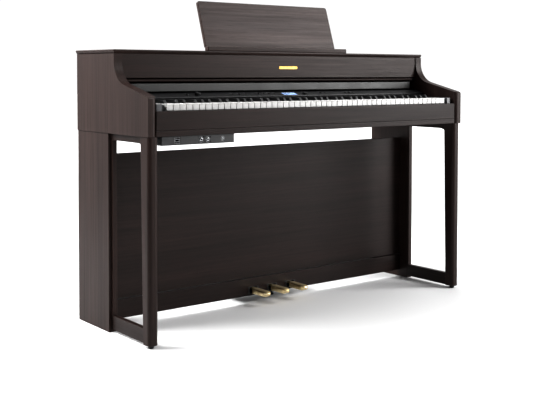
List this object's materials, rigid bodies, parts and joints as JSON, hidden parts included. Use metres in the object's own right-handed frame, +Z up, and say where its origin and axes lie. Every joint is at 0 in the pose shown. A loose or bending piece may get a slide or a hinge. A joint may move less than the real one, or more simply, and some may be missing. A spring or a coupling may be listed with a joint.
{
  "type": "digital piano on stand",
  "caption": "Upright-style digital piano with sliding key lid, hinged music rest, weighted keys, control panel and open-frame stand with three brass pedals.",
  "frame": {"origin": "on the floor, under the middle of the plan", "axes": "+X to the player's right along the keys, +Y to the rear, +Z up"},
  "size_m": [1.377, 0.468, 1.0731],
  "materials": {
    "rosewood": "dark brown open-grain veneer, satin",
    "black_plastic": "black satin moulded plastic",
    "fascia_grey": "dark grey satin",
    "white_key": "ivory-feel satin white",
    "black_key": "ebony-feel black",
    "brass": "polished brass",
    "steel": "zinc-plated",
    "rubber": "black rubber",
    "circuit": "green solder mask",
    "display": "lit blue-white display behind a window",
    "hardboard": "dark dyed hardboard"
  },
  "bodies": {
    "cabinet": {"top_board": "rosewood", "side_panel_left": "rosewood", "side_panel_right": "rosewood", "upper_front_panel": "rosewood", "key_slip": "rosewood", "key_bed": "rosewood", "music_rest_ledge": "rosewood", "leg_board_left": "rosewood", "leg_board_right": "rosewood", "leg_frame_left": "rosewood", "leg_frame_right": "rosewood", "modesty_panel": "rosewood", "pedal_board": "rosewood", "control_panel": "black_plastic", "lid_rail_left": "black_plastic", "lid_rail_right": "black_plastic", "key_block_left": "black_plastic", "key_block_right": "black_plastic", "jack_box": "black_plastic", "usb_socket": "black_plastic", "phones_socket_left": "black_plastic", "phones_socket_right": "black_plastic", "power_inlet": "black_plastic", "speaker_left": "black_plastic", "speaker_right": "black_plastic", "key_well_fascia": "fascia_grey", "back_board": "hardboard", "badge_plate": "brass", "key_chassis": "steel", "music_rest_hinge": "steel", "pedal_unit_case": "steel", "display_window": "display", "main_circuit_board": "circuit", "front_foot_left": "rubber", "front_foot_right": "rubber"},
    "lid": {"lid_panel": "black_plastic", "lid_front_rail": "rosewood"},
    "white_keys": {"white_keys": "white_key"},
    "black_keys": {"black_keys": "black_key"},
    "music_rest": {"music_rest_board": "rosewood"},
    "music_rest_stay": {"music_rest_stay": "steel"},
    "volume_knob": {"volume_knob": "black_plastic"},
    "selector_dial": {"selector_dial": "black_plastic"},
    "pedal_soft": {"pedal_soft": "brass"},
    "pedal_sostenuto": {"pedal_sostenuto": "brass"},
    "pedal_damper": {"pedal_damper": "brass"},
    "adjuster_foot": {"adjuster_foot": "rubber"},
    "key_F": {"key_F": "white_key"},
    "key_F_sharp": {"key_F_sharp": "black_key"},
    "key_G": {"key_G": "white_key"},
    "key_G_sharp": {"key_G_sharp": "black_key"},
    "key_A": {"key_A": "white_key"},
    "key_A_sharp": {"key_A_sharp": "black_key"},
    "key_B": {"key_B": "white_key"},
    "power_button": {"power_button": "black_plastic"},
    "tone_button": {"tone_button": "black_plastic"},
    "song_button": {"song_button": "black_plastic"},
    "metronome_button": {"metronome_button": "black_plastic"},
    "record_button": {"record_button": "black_plastic"},
    "play_button": {"play_button": "black_plastic"}
  },
  "joints": [
    {"name": "lid_slide", "type": "slide", "parent": "cabinet", "child": "lid", "axis": [0, -0.972, -0.2351], "range_m": [0, 0.2]},
    {"name": "white_keys_dip", "type": "hinge", "parent": "cabinet", "child": "white_keys", "pos_m": [0, 0.006, 0.722], "axis": [1, 0, 0], "range_deg": [0, 2.55], "stiffness_Nm_per_rad": 60, "springref_deg": -8.59},
    {"name": "black_keys_dip", "type": "hinge", "parent": "cabinet", "child": "black_keys", "pos_m": [0, 0.006, 0.722], "axis": [1, 0, 0], "range_deg": [0, 3], "stiffness_Nm_per_rad": 24, "springref_deg": -8.59},
    {"name": "key_F_dip", "type": "hinge", "parent": "cabinet", "child": "key_F", "pos_m": [0, -0.006, 0.722], "axis": [1, 0, 0], "range_deg": [0, 2.7], "stiffness_Nm_per_rad": 1.6, "springref_deg": -8.59},
    {"name": "key_F_sharp_dip", "type": "hinge", "parent": "cabinet", "child": "key_F_sharp", "pos_m": [0, -0.006, 0.722], "axis": [1, 0, 0], "range_deg": [0, 3.2], "stiffness_Nm_per_rad": 1, "springref_deg": -8.59},
    {"name": "key_G_dip", "type": "hinge", "parent": "cabinet", "child": "key_G", "pos_m": [0, -0.006, 0.722], "axis": [1, 0, 0], "range_deg": [0, 2.7], "stiffness_Nm_per_rad": 1.6, "springref_deg": -8.59},
    {"name": "key_G_sharp_dip", "type": "hinge", "parent": "cabinet", "child": "key_G_sharp", "pos_m": [0, -0.006, 0.722], "axis": [1, 0, 0], "range_deg": [0, 3.2], "stiffness_Nm_per_rad": 1, "springref_deg": -8.59},
    {"name": "key_A_dip", "type": "hinge", "parent": "cabinet", "child": "key_A", "pos_m": [0, -0.006, 0.722], "axis": [1, 0, 0], "range_deg": [0, 2.7], "stiffness_Nm_per_rad": 1.6, "springref_deg": -8.59},
    {"name": "key_A_sharp_dip", "type": "hinge", "parent": "cabinet", "child": "key_A_sharp", "pos_m": [0, -0.006, 0.722], "axis": [1, 0, 0], "range_deg": [0, 3.2], "stiffness_Nm_per_rad": 1, "springref_deg": -8.59},
    {"name": "key_B_dip", "type": "hinge", "parent": "cabinet", "child": "key_B", "pos_m": [0, -0.006, 0.722], "axis": [1, 0, 0], "range_deg": [0, 2.7], "stiffness_Nm_per_rad": 1.6, "springref_deg": -8.59},
    {"name": "music_rest_fold", "type": "hinge", "parent": "cabinet", "child": "music_rest", "pos_m": [0, 0.06, 0.9023], "axis": [-1, 0, 0], "range_deg": [0, 71]},
    {"name": "music_rest_stay_fold", "type": "hinge", "parent": "music_rest", "child": "music_rest_stay", "pos_m": [0, 0.08651, 0.98201], "axis": [1, 0, 0], "range_deg": [0, 142]},
    {"name": "volume_turn", "type": "hinge", "parent": "cabinet", "child": "volume_knob", "pos_m": [-0.392, -0.05059, 0.75162], "axis": [0, -0.2822, 0.9594], "range_deg": [-140, 140]},
    {"name": "selector_turn", "type": "hinge", "parent": "cabinet", "child": "selector_dial", "pos_m": [0.066, -0.05059, 0.75162], "axis": [0, -0.2822, 0.9594], "continuous": true},
    {"name": "power_button_press", "type": "slide", "parent": "cabinet", "child": "power_button", "axis": [0, 0.2822, -0.9594], "range_m": [0, 0.001], "stiffness_N_per_m": 300, "springref_m": -0.003},
    {"name": "tone_button_press", "type": "slide", "parent": "cabinet", "child": "tone_button", "axis": [0, 0.2822, -0.9594], "range_m": [0, 0.001], "stiffness_N_per_m": 300, "springref_m": -0.003},
    {"name": "song_button_press", "type": "slide", "parent": "cabinet", "child": "song_button", "axis": [0, 0.2822, -0.9594], "range_m": [0, 0.001], "stiffness_N_per_m": 300, "springref_m": -0.003},
    {"name": "metronome_button_press", "type": "slide", "parent": "cabinet", "child": "metronome_button", "axis": [0, 0.2822, -0.9594], "range_m": [0, 0.001], "stiffness_N_per_m": 300, "springref_m": -0.003},
    {"name": "record_button_press", "type": "slide", "parent": "cabinet", "child": "record_button", "axis": [0, 0.2822, -0.9594], "range_m": [0, 0.001], "stiffness_N_per_m": 300, "springref_m": -0.003},
    {"name": "play_button_press", "type": "slide", "parent": "cabinet", "child": "play_button", "axis": [0, 0.2822, -0.9594], "range_m": [0, 0.001], "stiffness_N_per_m": 300, "springref_m": -0.003},
    {"name": "pedal_soft_press", "type": "hinge", "parent": "cabinet", "child": "pedal_soft", "pos_m": [-0.085, 0.15, 0.052], "axis": [1, 0, 0], "range_deg": [0, 4], "stiffness_Nm_per_rad": 25, "springref_deg": -4.58},
    {"name": "pedal_sostenuto_press", "type": "hinge", "parent": "cabinet", "child": "pedal_sostenuto", "pos_m": [0, 0.15, 0.052], "axis": [1, 0, 0], "range_deg": [0, 4], "stiffness_Nm_per_rad": 25, "springref_deg": -4.58},
    {"name": "pedal_damper_press", "type": "hinge", "parent": "cabinet", "child": "pedal_damper", "pos_m": [0.085, 0.15, 0.052], "axis": [1, 0, 0], "range_deg": [0, 4], "stiffness_Nm_per_rad": 25, "springref_deg": -4.58},
    {"name": "adjuster_screw", "type": "slide", "parent": "cabinet", "child": "adjuster_foot", "axis": [0, 0, 1], "range_m": [0, 0.012]}
  ],
  "couplings": [
    {"joint": "music_rest_stay_fold", "follows": "music_rest_fold", "ratio": 2}
  ]
}
